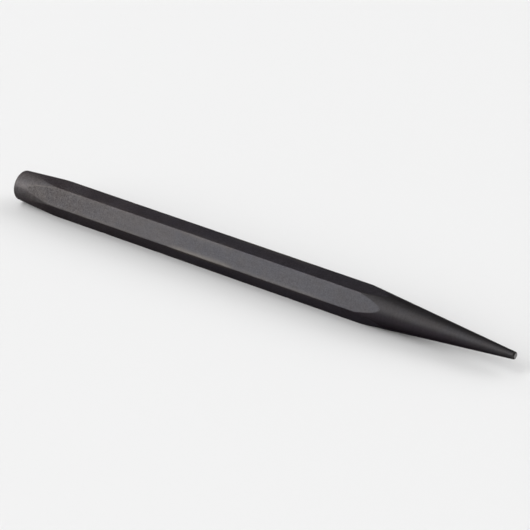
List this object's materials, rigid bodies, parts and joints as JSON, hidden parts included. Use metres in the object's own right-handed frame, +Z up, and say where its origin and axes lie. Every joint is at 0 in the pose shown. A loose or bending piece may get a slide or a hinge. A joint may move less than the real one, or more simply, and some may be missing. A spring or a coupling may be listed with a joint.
{
  "type": "line-up punch",
  "caption": "One-piece hexagon-bar punch with a tapered round head to strike and a long round taper to a small flat point, for lining up holes.",
  "frame": {"origin": "under the middle of the punch's length, on the surface that its lower flat rests on", "axes": "+X along the bar from the struck face to the point, +Y level across two corners of the hexagon, +Z up and square to the flat that it lies on"},
  "size_m": [0.1396, 0.009, 0.0079],
  "materials": {
    "black_oxide_steel": "matte black oxide over hardened tool steel, with fine grinding marks round both tapers"
  },
  "bodies": {
    "root": {"punch_bar": "black_oxide_steel"}
  },
  "joints": []
}
